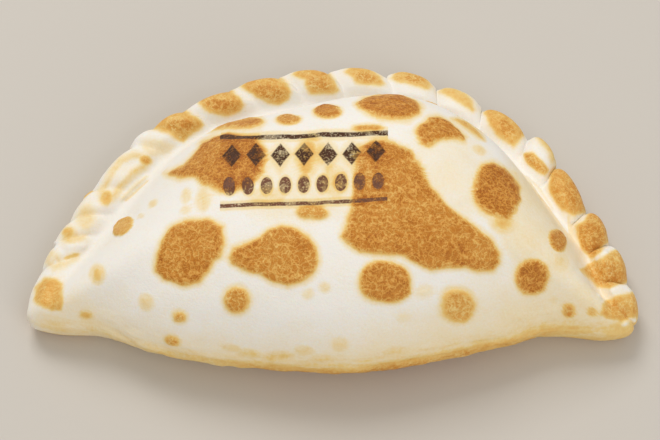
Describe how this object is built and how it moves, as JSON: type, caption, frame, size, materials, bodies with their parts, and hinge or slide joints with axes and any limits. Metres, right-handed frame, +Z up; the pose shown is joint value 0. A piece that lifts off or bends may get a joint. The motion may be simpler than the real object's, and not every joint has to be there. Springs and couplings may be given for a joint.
{
  "type": "empanada",
  "caption": "Baked empanada: a half-moon of dough folded over its filling, with a domed belly and a thick pleated rim along the curved edge, lying on a flat base.",
  "frame": {"origin": "middle of the bottom of the bounding box, on the surface the empanada lies on", "axes": "+X along the straight folded side from the left tip to the right tip, +Y from the fold towards the pleated rim, +Z up"},
  "size_m": [0.1306, 0.08, 0.034],
  "materials": {
    "baked_dough": "matt, floury white dough with golden-brown baked blisters on the belly and on the crests of the pleats"
  },
  "bodies": {
    "root": {"empanada": "baked_dough"}
  },
  "joints": []
}
